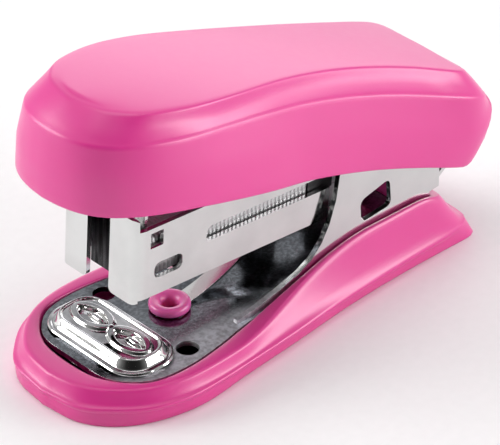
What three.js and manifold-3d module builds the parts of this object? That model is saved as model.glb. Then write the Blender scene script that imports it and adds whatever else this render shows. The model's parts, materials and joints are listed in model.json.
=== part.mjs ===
// Mini desk stapler for 24/6 and 26/6 staples, millimetres, +Z up.
// The nose points to -X, the hinge is near +X, and the base stands on Z = 0.
import * as THREE from "three";
import { mergeVertices } from "three/addons/utils/BufferGeometryUtils.js";
import Module from "manifold-3d";

const wasm = await Module();
wasm.setup();

// ---- driving dimensions ----
const CENTRE_SHIFT = 1.1;             // moves the outline's middle onto X = 0
const GAP = 0.3;                      // running gap between neighbouring pieces
const SHEET = 0.7;                    // magazine sheet thickness
const PLATE = 0.8;                    // base plate and ear thickness

const PIVOT = { x: 23.2, z: 18.0 };   // hinge line of magazine and handle
const PIN_RADIUS = 1.5;
const PIN_HOLE = 1.6;
const PIN_HEAD = 2.0;
const HEAD_STEP = 0.25;               // thickness of the pin's head and of its clip
const SPACER = { radius: 2.3, from: 7.15, to: 7.95 };

const RIM_Z = 5.0;                    // top of the plastic base at the front
const HUMP_Z = 9.8;                   // top of the plastic base beside the ears
const HUMP_ROLL = { from: 21, drop: 0.05 };  // how the hump falls away at the rear
const RIDGE_Z = 2.7;                  // widest line of the base's side
const POCKET_FLOOR = 1.5;             // floor of the recess in the plastic base
const PLATE_TOP = 4.9;                // top face of the steel base plate
const EAR_OUT = 8.9;                  // outer face of each ear

const EAR_WINDOW = [[10.9, 14.3], [11.2, 10.7], [16.8, 11.2], [16.4, 15.6]];
const LOCATING_HOLE = { x: -19.9, y: 8.4, radius: 1.6 };

const TILT = 0.065;                   // slope of the magazine, nose up, in radians
const NOSE = { x: -28.0, z: 15.35 };  // lower front corner of the magazine's side
const WALL_OUT = 7.4;                 // half width of the magazine
const WALL_H = 10.3;                  // height of the magazine's side wall
const MAG_LENGTH = 34.2;              // length of the magazine's side wall
const TONGUE_HALF = 3.4;              // half width of the channel floor's front tongue
const RAIL_OUT = 5.8;                 // half width of the staple rail
const RAIL_GAUGE = 0.6;               // sheet of the rail
const RAIL = { front: 3.0, low: 2.3, high: 7.6, rear: 48.3 };  // magazine frame
const FRONT_TAB = { half: 4.8, low: -0.5, high: 7.2 };  // the rail's front wall
const REAR_TAB = { half: 1.7, high: 6.4 };    // the wall that the rod passes to
const STRIP = { from: 2.9, to: 30.9 }; // staple strip along the magazine

const BOSS_X = -15.6;                 // hollow boss that holds the lift spring
const BOSS_HOLE = 2.0;                // hole in plate and tongue round the boss
const LEAF_GAUGE = 0.4;
const LEAF_HALF = 1.3;                // half width of the lift spring's tongue
const LEAF_TAB = 2.45;                // radius of its tab round the boss
const ANVIL_X = -26.0;                // middle of the anvil
const ANVIL_DECK = { reach: 3.4, span: 7.9, corner: 2.7, rise: 1.6 };
const POCKET_Y = 3.9;                 // middle of each crimp pocket
const POCKET_BOWL = [1.5, 3.0, 1.0];  // half sizes of each crimp pocket
const ROD = { from: 3.9, to: 47.2, z: 5.3, radius: 0.8 };  // pusher rod, magazine frame
const ROD_HEAD = { radius: 2.0, length: 0.6 };
const STAPLE_WIRE = { out: 6.4, gauge: 0.5, low: 2.4, top: 8.4 };
const PUSHER_LENGTH = 4.5;
const PUSHER_COIL = { radius: 1.6, gauge: 0.22, turns: 12 };
const DRIVER = { x: 2.25, lean: 0.0875, foot: 8.7, head: 25.0, half: 6.3, gauge: 0.5 };
const RIVET = { x: -21.2, y: 3.4, z: 40.0, radius: 0.8 };  // driver rivets

const TOP_RISE = [38.43, -0.2957, -0.003];  // handle's top line, z = a + b x + c x^2
const SKIN = 1.5;                     // handle wall
const SHOULDER_DROP = 3.3;            // height of the handle's bevel
const FRAME_DROP = 2.6;               // handle top down to the steel frame
const FRAME_OUT = 7.0;                // half width of the steel frame
const FRAME_GAUGE = 0.8;
const RETURN_COIL = { radius: 2.1, half: 2.6, gauge: 0.35, turns: 3.5 };

// ---- materials ----
const paint = (color, roughness, metalness) => (
  new THREE.MeshStandardMaterial({ color, roughness, metalness })
);
const pinkPlastic = () => paint(0xec5fa6, 0.38, 0.0);
const brightSteel = () => paint(0xd6d6d6, 0.12, 1.0);
const satinSteel = () => paint(0xb9babc, 0.3, 1.0);
const darkSteel = () => paint(0x77787c, 0.4, 1.0);
const blackPlastic = () => paint(0x26262a, 0.5, 0.0);
const stapleSteel = () => paint(0xc9cacb, 0.22, 1.0);

// ---- solids ----
function solid(geometry) {
  const bare = geometry.index ? geometry.clone() : geometry;
  bare.deleteAttribute("normal");
  bare.deleteAttribute("uv");
  const merged = mergeVertices(bare, 1e-4);
  return new wasm.Manifold(new wasm.Mesh({
    numProp: 3,
    vertProperties: new Float32Array(merged.attributes.position.array),
    triVerts: new Uint32Array(merged.index.array),
  }));
}

function geometryOf(body) {
  const mesh = body.getMesh();
  const geometry = new THREE.BufferGeometry();
  geometry.setAttribute("position", new THREE.BufferAttribute(mesh.vertProperties, 3));
  geometry.setIndex(new THREE.BufferAttribute(mesh.triVerts, 1));
  return geometry;
}

function box(x0, x1, y0, y1, z0, z1) {
  const geometry = new THREE.BoxGeometry(x1 - x0, y1 - y0, z1 - z0);
  geometry.translate((x0 + x1) / 2, (y0 + y1) / 2, (z0 + z1) / 2);
  return solid(geometry);
}

// A flat piece drawn in X and Z, from y0 to y1.
function sidePlate(shape, y0, y1, curveSegments = 6) {
  const geometry = new THREE.ExtrudeGeometry(shape, {
    depth: y1 - y0, bevelEnabled: false, curveSegments,
  });
  geometry.rotateX(Math.PI / 2);
  geometry.translate(0, y1, 0);
  return solid(geometry);
}

function polygon(points) {
  return new THREE.Shape(points.map(([a, b]) => new THREE.Vector2(a, b)));
}

// A polygon whose corners are rounded off, starting r away from each corner.
function softPolygon(points, r) {
  const shape = new THREE.Shape();
  const corner = points.map(([a, b]) => new THREE.Vector2(a, b));
  corner.forEach((here, i) => {
    const before = corner[(i + corner.length - 1) % corner.length];
    const after = corner[(i + 1) % corner.length];
    const enter = here.clone().add(before.clone().sub(here).setLength(r));
    const leave = here.clone().add(after.clone().sub(here).setLength(r));
    if (i === 0) shape.moveTo(enter.x, enter.y);
    else shape.lineTo(enter.x, enter.y);
    shape.quadraticCurveTo(here.x, here.y, leave.x, leave.y);
  });
  shape.closePath();
  return shape;
}

// The section of a bent strip of sheet that follows a centre line.
function ribbon(points, thickness) {
  const line = points.map(([a, b]) => new THREE.Vector2(a, b));
  const side = (sign) => line.map((here, i) => {
    const before = line[Math.max(i - 1, 0)];
    const after = line[Math.min(i + 1, line.length - 1)];
    const along = after.clone().sub(before).normalize();
    const out = new THREE.Vector2(-along.y, along.x).multiplyScalar((sign * thickness) / 2);
    return here.clone().add(out);
  });
  return new THREE.Shape(side(1).concat(side(-1).reverse()));
}

// A cylinder whose axis lies along Y.
function crossPin(x, z, radius, y0, y1, segments = 20) {
  const geometry = new THREE.CylinderGeometry(radius, radius, y1 - y0, segments);
  geometry.translate(x, (y0 + y1) / 2, z);
  return solid(geometry);
}

// A cylinder whose axis lies along Z.
function post(x, y, radius, z0, z1, segments = 20) {
  const geometry = new THREE.CylinderGeometry(radius, radius, z1 - z0, segments);
  geometry.rotateX(Math.PI / 2);
  geometry.translate(x, y, (z0 + z1) / 2);
  return solid(geometry);
}

// Half of a plan outline, from the middle of the nose round to the middle of the rear.
function halfOutline(points, steps) {
  const curve = new THREE.CatmullRomCurve3(
    points.map(([x, y]) => new THREE.Vector3(x, y, 0)), false, "centripetal",
  );
  return curve.getPoints(steps).map((p) => [p.x, p.y]);
}

// A body of stacked rings. Each level has a half outline and a height for each x.
function stackedBody(levels, steps) {
  const rings = levels.map(({ half, height }) => {
    const near = halfOutline(half, steps).map(([x, y]) => [x, -y, height(x)]);
    const far = near.slice(1, -1).reverse().map(([x, y, z]) => [x, -y, z]);
    return near.concat(far);
  });
  const count = rings[0].length;
  const positions = rings.flat(2);
  const index = [];
  for (let level = 0; level < rings.length - 1; level += 1) {
    for (let i = 0; i < count; i += 1) {
      const a = level * count + i;
      const b = level * count + ((i + 1) % count);
      index.push(a, b, b + count, a, b + count, a + count);
    }
  }
  const capRing = (start, flip) => {
    for (let i = 0; i < steps; i += 1) {
      const a = start + i;
      const b = start + i + 1;
      const c = start + ((count - i - 1) % count);
      const d = start + ((count - i) % count);
      const faces = [[a, b, c], [a, c, d]].filter((f) => new Set(f).size === 3);
      faces.forEach(([p, q, r]) => index.push(...(flip ? [p, r, q] : [p, q, r])));
    }
  };
  capRing(0, true);
  capRing((rings.length - 1) * count, false);
  const geometry = new THREE.BufferGeometry();
  geometry.setAttribute("position", new THREE.Float32BufferAttribute(positions, 3));
  geometry.setIndex(index);
  return solid(geometry);
}

const root = new THREE.Group();
const stapler = new THREE.Group();
stapler.position.x = CENTRE_SHIFT;
root.add(stapler);

// The magazine's own frame: X along the magazine, Z square to it.
const magazine = new THREE.Group();
magazine.position.set(NOSE.x, 0, NOSE.z);
magazine.rotation.y = TILT;
stapler.add(magazine);

function addPart(parent, name, body, material) {
  const geometry = body.isBufferGeometry ? body : geometryOf(body);
  const mesh = new THREE.Mesh(geometry, material);
  mesh.name = name;
  parent.add(mesh);
  return mesh;
}

function inMagazine(x, z) {
  const dx = x - NOSE.x;
  const dz = z - NOSE.z;
  return {
    x: dx * Math.cos(TILT) - dz * Math.sin(TILT),
    z: dx * Math.sin(TILT) + dz * Math.cos(TILT),
  };
}

// ---- base ----
function rimHeight(x) {
  const t = THREE.MathUtils.smoothstep(x, -13.5, 12.5);
  const roll = Math.max(0, x - HUMP_ROLL.from);
  return RIM_Z + (HUMP_Z - RIM_Z) * t - HUMP_ROLL.drop * roll * roll;
}

function baseCover() {
  const foot = [[-37.2, 0], [-36.4, 5.8], [-34.2, 9.3], [-30.1, 12.4], [-23, 14.1], [-13, 13.2],
    [-3, 12.2], [8, 11.0], [18, 10.5], [27, 10.3], [31.2, 9.8], [32.4, 8.4], [32.6, 7.0], [32.6, 0]];
  const ridge = [[-38.1, 0], [-37.1, 6.6], [-34.6, 9.9], [-30.4, 12.9], [-24.9, 14.4],
    [-19.8, 14.5], [-12, 13.9], [-4, 13.2], [4, 12.3], [12.3, 11.7], [20.5, 11.2], [26.4, 10.9],
    [29.8, 10.3], [31.2, 9.0], [31.6, 7.4], [31.7, 0]];
  const rim = [[-36.8, 0], [-36.3, 3.5], [-35.4, 6.0], [-33, 9.1], [-29.4, 11.8], [-24, 13.3],
    [-15, 13.2], [-10, 12.2], [-5, 11.0], [0, 10.2], [5, 9.9], [12, 9.9], [20, 9.9], [24.4, 9.8],
    [26.2, 9.1], [26.8, 7.6], [26.8, 0]];
  const pocket = [[-33.5, 0], [-33.3, 3.5], [-32.7, 5.8], [-31.2, 8.3], [-28.6, 10.7],
    [-25.5, 11.55], [-21, 11.6], [-16, 10.9], [-12, 10.1], [-6, 9.45], [0, 9.3], [10, 9.3],
    [24, 9.3], [24.6, 8.6], [24.6, 0]];
  const shell = stackedBody([
    { half: foot, height: () => 0 },
    { half: ridge, height: () => RIDGE_Z },
    { half: rim, height: rimHeight },
  ], 40);
  const recess = stackedBody([
    { half: pocket, height: () => POCKET_FLOOR },
    { half: pocket, height: () => HUMP_Z + 3 },
  ], 30);
  return shell.subtract(recess);
}

function earProfile() {
  const strip = [-11.5, -8, -4, -0.5].map((x) => [x, rimHeight(x) + 0.35]);
  const front = [[2.0, 9.0], [3.8, 10.8], [5.2, 13.2], [6.4, 16.6], [7.0, 20.2], [8.4, 22.2]];
  const back = [];
  for (let i = 0; i <= 6; i += 1) {
    const angle = Math.PI / 2 - (i / 6) * (Math.PI / 2);
    back.push([PIVOT.x - 0.2 + 3 * Math.cos(angle), PIVOT.z + 4.2 * Math.sin(angle)]);
  }
  const stop = [[26, 12.4], [28.4, 14.0], [28.7, 13.5], [26, 11.6]];
  const tail = [[26, 10.1], [24.2, 9.9], [24.2, 4.1], [-11.5, 4.1]];
  return polygon([...strip, ...front, ...back, ...stop, ...tail]);
}

function basePlate() {
  const half = [[-32.4, 0], [-32.4, 4.6], [-32.0, 6.6], [-30.8, 8.4], [-28.4, 10.4], [-25.4, 11.2],
    [-21, 11.3], [-16, 10.6], [-12, 9.8], [-8, 9.25], [-5, EAR_OUT], [10, EAR_OUT],
    [23.6, EAR_OUT], [24.2, 8.4], [24.2, 0]];
  let plate = stackedBody([
    { half, height: () => PLATE_TOP - PLATE },
    { half, height: () => PLATE_TOP },
  ], 30);
  const ear = earProfile();
  ear.holes.push(softPolygon(EAR_WINDOW, 1.1));
  for (const y of [-EAR_OUT, EAR_OUT - PLATE]) {
    plate = plate.add(sidePlate(ear, y, y + PLATE));
  }
  plate = plate.subtract(crossPin(PIVOT.x, PIVOT.z, PIN_HOLE, -10, 10));
  const below = PLATE_TOP - 2 * PLATE;
  const above = PLATE_TOP + PLATE;
  plate = plate.subtract(post(BOSS_X, 0, BOSS_HOLE, below, above));
  for (const y of [-LOCATING_HOLE.y, LOCATING_HOLE.y]) {
    plate = plate.subtract(post(LOCATING_HOLE.x, y, LOCATING_HOLE.radius, below, above, 32));
  }
  return plate;
}

function anvil() {
  const { reach, span, corner, rise } = ANVIL_DECK;
  const deck = softPolygon([[-reach, -span], [reach, -span], [reach, span], [-reach, span]], corner);
  const geometry = new THREE.ExtrudeGeometry(deck, {
    depth: 0.4, bevelThickness: 1.2, bevelSize: 1.45, bevelSegments: 2, curveSegments: 6,
  });
  geometry.translate(ANVIL_X, 0, PLATE_TOP + GAP);
  let body = solid(geometry).intersect(box(-40, -10, -20, 20, PLATE_TOP + GAP, 20));
  const top = PLATE_TOP + GAP + rise;
  for (const y of [-POCKET_Y, POCKET_Y]) {
    const bowl = new THREE.SphereGeometry(1, 20, 12);
    bowl.scale(...POCKET_BOWL);
    bowl.translate(ANVIL_X, y, top + GAP);
    body = body.subtract(solid(bowl));
  }
  return body;
}

function springBoss() {
  const points = [[1.1, 1.7], [1.75, 1.7], [1.75, 5.65], [2.5, 5.65], [2.68, 5.85], [2.62, 6.1],
    [2.35, 6.25], [1.9, 6.25], [1.45, 6.05], [1.2, 5.8], [1.1, 5.4], [1.1, 1.7]];
  const geometry = new THREE.LatheGeometry(points.map(([a, b]) => new THREE.Vector2(a, b)), 36);
  geometry.rotateX(Math.PI / 2);
  geometry.translate(BOSS_X, 0, 0);
  return solid(geometry);
}

function liftSpring() {
  const curve = new THREE.CatmullRomCurve3([
    [-18.3, 5.22], [-15.6, 5.22], [-12.6, 5.3], [-9, 6.05], [-5, 7.5], [-1, 9.7], [2, 11.7],
    [3.4, 12.4], [4.4, 12.5], [5.2, 12.1], [5.6, 11.4],
  ].map(([x, z]) => new THREE.Vector3(x, z, 0)), false, "centripetal");
  const line = curve.getPoints(36).map((p) => [p.x, p.y]);
  const strip = sidePlate(ribbon(line, LEAF_GAUGE), -LEAF_TAB, LEAF_TAB);
  const tongue = polygon([[BOSS_X, -LEAF_HALF], [10, -LEAF_HALF * 0.8], [10, LEAF_HALF * 0.8],
    [BOSS_X, LEAF_HALF]]);
  const blank = solid(new THREE.ExtrudeGeometry(tongue, { depth: 16, bevelEnabled: false }))
    .add(post(BOSS_X, 0, LEAF_TAB, 3, 8, 32));
  return strip.intersect(blank).subtract(post(BOSS_X, 0, BOSS_HOLE, 3, 8, 32));
}

function pivotPin() {
  const head = EAR_OUT + 0.15;
  const shaft = crossPin(PIVOT.x, PIVOT.z, PIN_RADIUS, -head, head + HEAD_STEP);
  return shaft.add(crossPin(PIVOT.x, PIVOT.z, PIN_HEAD, -head - HEAD_STEP, -head));
}

function ringOnPin(outer, inner, y0, y1) {
  return crossPin(PIVOT.x, PIVOT.z, outer, y0, y1)
    .subtract(crossPin(PIVOT.x, PIVOT.z, inner, y0 - 1, y1 + 1));
}

function pivotClip() {
  return ringOnPin(PIN_HEAD, PIN_HOLE, EAR_OUT + 0.15, EAR_OUT + 0.15 + HEAD_STEP);
}

function spacer(y0, y1) {
  return ringOnPin(SPACER.radius, PIN_HOLE, y0, y1);
}

// ---- magazine, drawn in the magazine's own frame ----
function magazineChannel() {
  const side = softPolygon([[0, 0], [MAG_LENGTH, 0], [MAG_LENGTH + 0.5, WALL_H], [0, WALL_H]], 0.8);
  side.holes.push(softPolygon([[3.2, 2.45], [8.1, 2.45], [8.1, 4.8], [3.2, 4.8]], 1.1));
  side.holes.push(softPolygon([[2.4, 7.3], [4.6, 7.3], [4.6, 9.6], [2.4, 9.6]], 0.2));
  const slot = softPolygon([[12.0, 4.7], [40, 4.7], [40, 6.95], [12.4, 6.95]], 0.9);
  let body = box(9, MAG_LENGTH - 1, -WALL_OUT + 0.1, WALL_OUT - 0.1, 0, SHEET);
  const tongue = RAIL.front + RAIL_GAUGE + GAP;
  body = body.add(box(tongue, 10, -TONGUE_HALF, TONGUE_HALF, 0, SHEET));
  for (const y of [-WALL_OUT, WALL_OUT - SHEET]) {
    body = body.add(sidePlate(side, y, y + SHEET));
  }
  const flange = softPolygon([[2.2, -0.6], [WALL_OUT, -0.6], [WALL_OUT, 12], [2.2, 12]], 0.9);
  const front = new THREE.ExtrudeGeometry(flange, { depth: SHEET, bevelEnabled: false });
  front.rotateX(Math.PI / 2);
  front.rotateZ(Math.PI / 2);
  const half = solid(front);
  body = body.add(half).add(half.mirror([0, 1, 0]));
  const plan = softPolygon([[0, -WALL_OUT], [60, -WALL_OUT], [60, WALL_OUT], [0, WALL_OUT]], 1.7);
  const bends = solid(new THREE.ExtrudeGeometry(plan, { depth: 20, bevelEnabled: false }));
  return body.intersect(bends.translate([0, 0, -4]))
    .subtract(sidePlate(slot, -WALL_OUT - 1, WALL_OUT + 1));
}

function stapleRail() {
  const pivot = inMagazine(PIVOT.x, PIVOT.z);
  const { front, low, high, rear } = RAIL;
  const wall = polygon([[front, low], [34, low], [36, 0.2], [pivot.x + 2.6, 0.2],
    [pivot.x + 3.2, 2.0], [pivot.x + 3.2, 8.4], [pivot.x + 2, 9.4], [pivot.x - 2.4, 9.4],
    [43.5, high], [front, high]]);
  let body = box(front, rear, -RAIL_OUT + 0.2, RAIL_OUT - 0.2, low, low + RAIL_GAUGE);
  for (const y of [-RAIL_OUT, RAIL_OUT - RAIL_GAUGE]) {
    body = body.add(sidePlate(wall, y, y + RAIL_GAUGE));
  }
  const tab = ROD.to + GAP;
  body = body.add(box(tab, tab + RAIL_GAUGE, -REAR_TAB.half, REAR_TAB.half, low, REAR_TAB.high));
  body = body.add(box(front, front + RAIL_GAUGE, -FRONT_TAB.half, FRONT_TAB.half,
    FRONT_TAB.low, FRONT_TAB.high));
  return body.subtract(crossPin(pivot.x, pivot.z, PIN_HOLE, -10, 10));
}

function springRod() {
  const geometry = new THREE.CylinderGeometry(ROD.radius, ROD.radius, ROD.to - ROD.from, 12);
  geometry.rotateZ(Math.PI / 2);
  geometry.translate((ROD.from + ROD.to) / 2, 0, ROD.z);
  const head = new THREE.CylinderGeometry(ROD_HEAD.radius, ROD_HEAD.radius, ROD_HEAD.length, 16);
  head.rotateZ(Math.PI / 2);
  head.translate(ROD.to - ROD_HEAD.length / 2, 0, ROD.z);
  return solid(geometry).add(solid(head));
}

function stapleStrip() {
  const { out, gauge, low, top } = STAPLE_WIRE;
  const section = polygon([[-out, low], [-out + gauge, low], [-out + gauge, top - gauge],
    [out - gauge, top - gauge], [out - gauge, low], [out, low], [out, top], [-out, top]]);
  const geometry = new THREE.ExtrudeGeometry(section, {
    depth: STRIP.to - STRIP.from, bevelEnabled: false,
  });
  geometry.rotateX(Math.PI / 2);
  geometry.rotateZ(Math.PI / 2);
  geometry.translate(STRIP.from, 0, 0);
  return solid(geometry);
}

function pusher() {
  const from = STRIP.to + GAP;
  const to = from + PUSHER_LENGTH;
  const saddle = box(from, to, -6.4, 6.4, 7.9, 8.6);
  const skirts = box(from, to, -6.4, -6.1, 4.0, 8.2).add(box(from, to, 6.1, 6.4, 4.0, 8.2));
  const hub = box(from, to, -4.6, 4.6, 3.3, 8.2);
  const bore = new THREE.CylinderGeometry(ROD.radius + GAP, ROD.radius + GAP, 20, 12);
  bore.rotateZ(Math.PI / 2);
  bore.translate(from, 0, ROD.z);
  return saddle.add(skirts).add(hub).subtract(solid(bore));
}

// A round wire that follows a list of points.
function wire(points, radius, steps, sides) {
  const section = new THREE.Shape();
  for (let i = 0; i < sides; i += 1) {
    const angle = (i / sides) * 2 * Math.PI;
    const method = i === 0 ? "moveTo" : "lineTo";
    section[method](radius * Math.cos(angle), radius * Math.sin(angle));
  }
  section.closePath();
  const path = new THREE.CatmullRomCurve3(points, false, "centripetal");
  const geometry = new THREE.ExtrudeGeometry(section, {
    steps, bevelEnabled: false, extrudePath: path,
  });
  return solid(geometry);
}

function pusherSpring() {
  const from = STRIP.to + GAP + PUSHER_LENGTH + GAP;
  const to = ROD.to - ROD_HEAD.length - GAP;
  const { radius, gauge, turns } = PUSHER_COIL;
  const perTurn = 8;
  const points = [];
  for (let i = 0; i <= turns * perTurn; i += 1) {
    const t = i / (turns * perTurn);
    const angle = t * turns * 2 * Math.PI;
    const x = from + 0.25 + t * (to - from - 0.5);
    const y = radius * Math.cos(angle);
    points.push(new THREE.Vector3(x, y, ROD.z + radius * Math.sin(angle)));
  }
  return wire(points, gauge, turns * perTurn, 5);
}

// ---- handle ----
const topLine = (x) => TOP_RISE[0] + TOP_RISE[1] * x + TOP_RISE[2] * x * x;

function skirtLine(x) {
  const rear = Math.max(0, x - 27.5);
  const front = Math.max(0, -20 - x);
  return 24.1 - 0.324 * x - 0.0021 * x * x + 0.145 * rear * rear - 0.0042 * front * front;
}

const HANDLE_SKIRT = [[-36.7, 0], [-36.4, 3.0], [-35.4, 6.3], [-33.4, 9.1], [-30, 11.3],
  [-25.5, 12.7], [-20, 13.3], [-14, 13.4], [-8, 13.0], [-2, 12.1], [4, 11.6], [12, 11.3], [20, 11.5],
  [26, 11.7], [30.3, 11.2], [33.0, 9.8], [34.2, 7.4], [34.4, 0]];
const HANDLE_BELT = [[-36.3, 0], [-36.0, 3.0], [-35.0, 6.2], [-32.9, 8.9], [-29.5, 11.0],
  [-25.3, 12.2], [-20, 12.7], [-14, 12.6], [-8, 12.1], [-2, 11.3], [4, 10.9], [12, 10.8], [20, 11.1],
  [26, 11.5], [31.0, 11.6], [34.2, 10.6], [35.6, 8.3], [35.9, 0]];
const HANDLE_SHOULDER = [[-35.3, 0], [-35.0, 3.0], [-33.9, 6.0], [-31.8, 8.4], [-28.4, 10.2],
  [-24.5, 11.2], [-20, 11.6], [-15, 11.3], [-8, 10.7], [0, 9.95], [8, 9.7], [16, 9.9],
  [24, 10.6], [29.2, 11.3], [32.6, 11.0], [34.7, 8.8], [35.4, 0]];
const HANDLE_TOP = [[-31.5, 0], [-31.3, 1.7], [-30.3, 5.0], [-29, 6.6], [-27, 8.2], [-23.4, 9.4],
  [-18.7, 10.05], [-12.5, 9.75], [-3.7, 8.45], [5, 7.6], [13.5, 7.45], [20, 7.75], [26, 8.4],
  [29.7, 8.6], [31.0, 7.9], [31.3, 6.8], [31.3, 0]];

function insetOutline(points, distance) {
  const first = points[0][0];
  const last = points[points.length - 1][0];
  const middle = (first + last) / 2;
  const shrink = (last - first - 2 * distance) / (last - first);
  return points.map(([x, y]) => [middle + (x - middle) * shrink, Math.max(0, y - distance)]);
}

function handleCover() {
  const outside = stackedBody([
    { half: HANDLE_SKIRT, height: skirtLine },
    { half: HANDLE_BELT, height: (x) => (skirtLine(x) + topLine(x) - SHOULDER_DROP) / 2 },
    { half: HANDLE_SHOULDER, height: (x) => topLine(x) - SHOULDER_DROP },
    { half: HANDLE_TOP, height: topLine },
  ], 44);
  const inside = stackedBody([
    { half: insetOutline(HANDLE_SKIRT, SKIN - 0.3), height: (x) => skirtLine(x) - 2 },
    { half: insetOutline(HANDLE_SHOULDER, SKIN - 0.3), height: (x) => topLine(x) - SHOULDER_DROP - 0.8 },
    { half: insetOutline(HANDLE_TOP, 0.6), height: (x) => topLine(x) - SKIN },
  ], 36);
  return outside.subtract(inside);
}

function handleFrame() {
  const xs = [-26.5, -22, -16, -8, 0, 8, 16, 22, 27];
  const roof = xs.map((x) => [x, topLine(x) - FRAME_DROP]);
  const plate = sidePlate(ribbon(roof, FRAME_GAUGE), -FRAME_OUT, FRAME_OUT);
  const arm = polygon([
    ...xs.map((x) => [x, topLine(x) - FRAME_DROP]),
    [PIVOT.x + 2.6, PIVOT.z - 0.5], [PIVOT.x + 1.4, PIVOT.z - 2.4], [PIVOT.x - 1.4, PIVOT.z - 2.4],
    [PIVOT.x - 3.0, PIVOT.z], [13, 26.5], [8, 31.2], [0, 34.0], [-8, 36.4], [-16, 38.0],
    [-26.5, 39.6],
  ]);
  let body = plate;
  for (const y of [-FRAME_OUT, FRAME_OUT - FRAME_GAUGE]) {
    body = body.add(sidePlate(arm, y, y + FRAME_GAUGE));
  }
  for (const y of [-RIVET.y, RIVET.y]) {
    body = body.subtract(post(RIVET.x, y, RIVET.radius + GAP, RIVET.z - 3, RIVET.z + 3, 12));
  }
  return body.subtract(crossPin(PIVOT.x, PIVOT.z, PIN_HOLE, -10, 10));
}

function driverBlade() {
  const { x, lean, foot, head, half, gauge } = DRIVER;
  const at = (z) => x + (z - foot) * lean;
  const line = [[at(foot), foot], [at(head), head], [at(head) + 3.1, head - 0.3]];
  const neck = half - 0.5;
  let blade = sidePlate(ribbon(line, gauge), -half, half);
  blade = blade.subtract(box(0, 10, neck, half + 1, 20, 30));
  blade = blade.subtract(box(0, 10, -half - 1, -neck, 20, 30));
  const rivet = inMagazine(RIVET.x, RIVET.z);
  for (const y of [-RIVET.y, RIVET.y]) {
    blade = blade.subtract(post(rivet.x, y, RIVET.radius + GAP, rivet.z - 3, rivet.z + 3, 12));
  }
  return blade;
}

function driverRivet(y) {
  return post(RIVET.x, y, RIVET.radius, RIVET.z - 0.9, RIVET.z + 1.1, 12)
    .add(post(RIVET.x, y, RIVET.radius + 0.5, RIVET.z - 1.2, RIVET.z - 0.8, 12));
}

function handleSpring() {
  const { radius, half, gauge, turns } = RETURN_COIL;
  const perTurn = 8;
  const coil = [];
  for (let i = 0; i <= turns * perTurn; i += 1) {
    const t = i / (turns * perTurn);
    const angle = Math.PI / 2 + t * turns * 2 * Math.PI;
    coil.push(new THREE.Vector3(
      PIVOT.x - radius * Math.cos(angle),
      half * (2 * t - 1),
      PIVOT.z + radius * Math.sin(angle),
    ));
  }
  const upperArm = [[5.5, 32.8], [13, 27.6]].map(([x, z]) => new THREE.Vector3(x, -half, z));
  const lowerArm = [[19, 15.9], [14, 16.1]].map(([x, z]) => new THREE.Vector3(x, half, z));
  return wire([...upperArm, ...coil, ...lowerArm], gauge, 72, 6);
}

// ---- assembly ----
addPart(stapler, "base_cover", baseCover(), pinkPlastic());
addPart(stapler, "base_plate", basePlate(), brightSteel());
addPart(stapler, "anvil_plate", anvil(), brightSteel());
addPart(stapler, "spring_boss", springBoss(), pinkPlastic());
addPart(stapler, "lift_spring", liftSpring(), brightSteel());
addPart(stapler, "pivot_pin", pivotPin(), satinSteel());
addPart(stapler, "pivot_clip", pivotClip(), satinSteel());
addPart(stapler, "spacer_near", spacer(-SPACER.to, -SPACER.from), satinSteel());
addPart(stapler, "spacer_far", spacer(SPACER.from, SPACER.to), satinSteel());

addPart(magazine, "magazine_channel", magazineChannel(), brightSteel());
addPart(magazine, "staple_rail", stapleRail(), satinSteel());
addPart(magazine, "spring_rod", springRod(), satinSteel());
addPart(magazine, "staple_strip", stapleStrip(), stapleSteel());
addPart(magazine, "pusher", pusher(), blackPlastic());
addPart(magazine, "pusher_spring", pusherSpring(), satinSteel());

addPart(stapler, "handle_cover", handleCover(), pinkPlastic());
addPart(stapler, "handle_frame", handleFrame(), satinSteel());
addPart(magazine, "driver_blade", driverBlade(), brightSteel());
addPart(stapler, "driver_rivet_near", driverRivet(-RIVET.y), darkSteel());
addPart(stapler, "driver_rivet_far", driverRivet(RIVET.y), darkSteel());
addPart(stapler, "handle_spring", handleSpring(), satinSteel());

export default root;
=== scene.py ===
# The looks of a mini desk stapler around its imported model. Metres, +Z up, nose towards -X.
# Outlines and sections are drawn in millimetres and scaled as they are placed.
import json
import math

import bmesh
import bpy
from mathutils import Matrix, Vector


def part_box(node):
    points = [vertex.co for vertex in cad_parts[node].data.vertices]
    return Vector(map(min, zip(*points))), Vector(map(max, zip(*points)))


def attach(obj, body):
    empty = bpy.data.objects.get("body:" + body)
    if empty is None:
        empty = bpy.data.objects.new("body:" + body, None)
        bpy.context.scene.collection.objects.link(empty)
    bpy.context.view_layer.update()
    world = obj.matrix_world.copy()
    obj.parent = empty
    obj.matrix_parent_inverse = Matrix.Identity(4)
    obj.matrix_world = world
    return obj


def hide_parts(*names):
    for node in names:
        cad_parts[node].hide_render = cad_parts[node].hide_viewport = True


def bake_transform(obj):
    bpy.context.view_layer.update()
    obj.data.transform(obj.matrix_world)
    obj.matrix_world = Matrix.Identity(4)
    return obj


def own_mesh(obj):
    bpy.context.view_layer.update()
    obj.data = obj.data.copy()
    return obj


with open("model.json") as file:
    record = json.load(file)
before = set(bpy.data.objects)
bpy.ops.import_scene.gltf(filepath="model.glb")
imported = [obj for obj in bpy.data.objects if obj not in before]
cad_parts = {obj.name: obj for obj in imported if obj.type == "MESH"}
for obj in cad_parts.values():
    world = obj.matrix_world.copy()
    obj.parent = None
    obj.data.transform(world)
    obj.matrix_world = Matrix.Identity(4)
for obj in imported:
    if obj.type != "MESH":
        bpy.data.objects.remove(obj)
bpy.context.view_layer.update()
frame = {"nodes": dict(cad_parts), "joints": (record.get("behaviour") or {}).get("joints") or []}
MM = 0.001

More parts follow.
